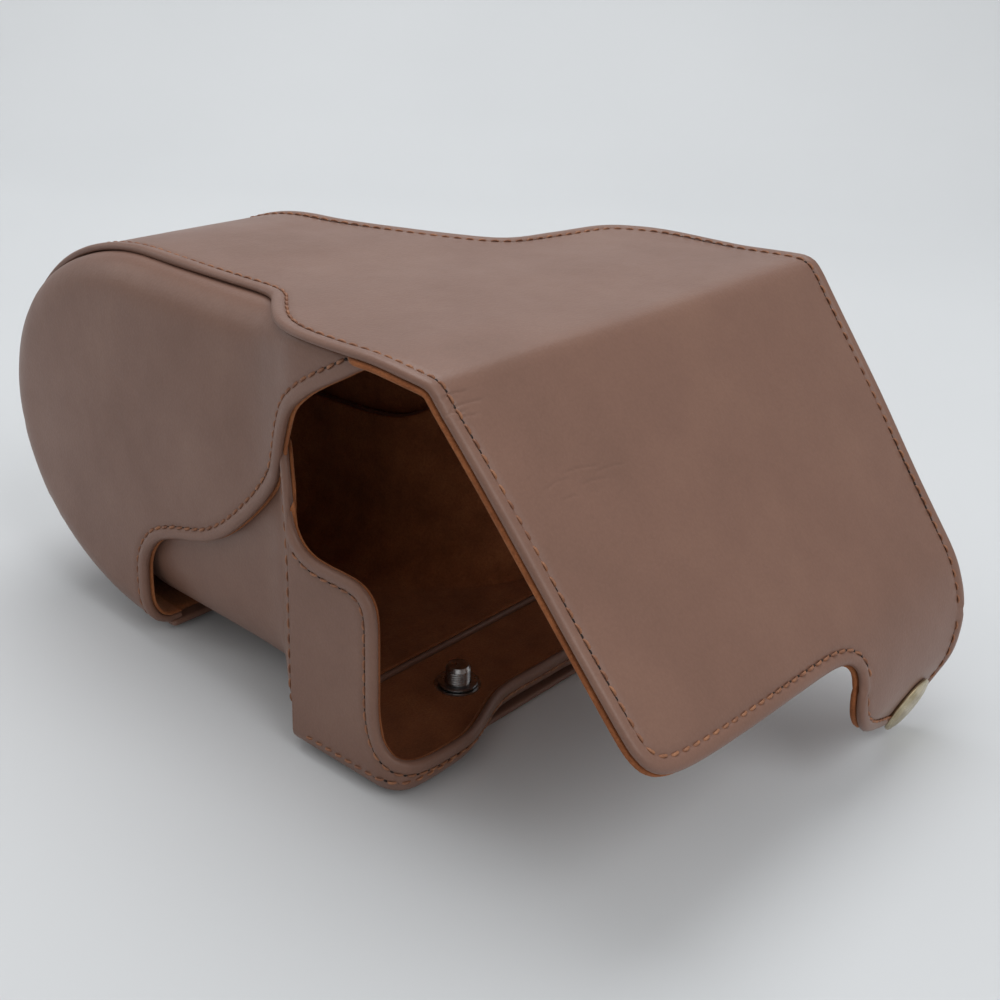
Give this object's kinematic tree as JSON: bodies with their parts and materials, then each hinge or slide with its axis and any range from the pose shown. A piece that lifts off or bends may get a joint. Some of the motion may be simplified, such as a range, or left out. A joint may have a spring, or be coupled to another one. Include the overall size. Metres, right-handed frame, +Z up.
{
  "type": "leather camera case",
  "caption": "Brown leather ever ready case for a small camera, with a long moulded nose, a hinged cover, a back flap with a snap tab, and an open half case.",
  "frame": {"origin": "on the underside of the half case's sole plate, in the middle of the body's width", "axes": "+X to the camera's left hand side, -Y forward out of the nose, +Z up"},
  "size_m": [0.1303, 0.2248, 0.0998],
  "materials": {
    "base_sole": "satin, fine grain",
    "base_panel": "satin, fine grain",
    "base_lining": "napped rust suede",
    "left_wall": "satin, fine grain",
    "left_wall_lining": "napped rust suede",
    "right_wall": "satin, fine grain",
    "right_wall_lining": "napped rust suede",
    "rear_lip": "satin, fine grain",
    "rear_lip_lining": "napped rust suede",
    "front_shell": "satin, fine grain",
    "front_shell_lining": "napped rust suede",
    "front_strap": "satin, fine grain",
    "front_snap_cap": "antique, satin",
    "front_snap_rivet": "antique, satin",
    "snap_stud": "antique, satin",
    "stud_rivet": "antique, satin",
    "tripod_bush": "satin",
    "top_panel": "satin, fine grain",
    "top_panel_lining": "napped rust suede",
    "nose_band": "satin, fine grain",
    "nose_band_lining": "napped rust suede",
    "left_shell": "satin, fine grain",
    "left_shell_lining": "napped rust suede",
    "right_shell": "satin, fine grain",
    "right_shell_lining": "napped rust suede",
    "flap_panel": "satin, fine grain",
    "flap_panel_lining": "napped rust suede",
    "tab_panel": "satin, fine grain",
    "tab_panel_lining": "napped rust suede",
    "snap_cap": "antique, satin",
    "snap_socket": "antique, satin",
    "tripod_screw": "satin",
    "screw_clip": "satin"
  },
  "bodies": {
    "half_case": {"base_sole": "base_sole", "base_panel": "base_panel", "base_lining": "base_lining", "left_wall": "left_wall", "left_wall_lining": "left_wall_lining", "right_wall": "right_wall", "right_wall_lining": "right_wall_lining", "rear_lip": "rear_lip", "rear_lip_lining": "rear_lip_lining", "front_shell": "front_shell", "front_shell_lining": "front_shell_lining", "front_strap": "front_strap", "front_snap_cap": "front_snap_cap", "front_snap_rivet": "front_snap_rivet", "snap_stud": "snap_stud", "stud_rivet": "stud_rivet", "tripod_bush": "tripod_bush"},
    "cover": {"top_panel": "top_panel", "top_panel_lining": "top_panel_lining", "nose_band": "nose_band", "nose_band_lining": "nose_band_lining", "left_shell": "left_shell", "left_shell_lining": "left_shell_lining", "right_shell": "right_shell", "right_shell_lining": "right_shell_lining"},
    "flap": {"flap_panel": "flap_panel", "flap_panel_lining": "flap_panel_lining"},
    "snap_tab": {"tab_panel": "tab_panel", "tab_panel_lining": "tab_panel_lining", "snap_cap": "snap_cap", "snap_socket": "snap_socket"},
    "tripod_screw": {"tripod_screw": "tripod_screw", "screw_clip": "screw_clip"}
  },
  "joints": [
    {"name": "cover_swing", "type": "hinge", "parent": "half_case", "child": "cover", "pos_m": [0, -0.0726, 0.0034], "axis": [1, 0, 0], "range_deg": [0, 100]},
    {"name": "flap_hinge", "type": "hinge", "parent": "cover", "child": "flap", "pos_m": [0, 0.0314, 0.09855], "axis": [1, 0, 0], "range_deg": [-39.5, 150]},
    {"name": "tab_bend", "type": "hinge", "parent": "flap", "child": "snap_tab", "pos_m": [0, 0.08751, 0.01754], "axis": [1, 0, 0], "range_deg": [-26.5, 45]},
    {"name": "tripod_screw_turn", "type": "hinge", "parent": "half_case", "child": "tripod_screw", "pos_m": [0.022, 0.002, 0], "axis": [0, 0, 1], "continuous": true}
  ]
}
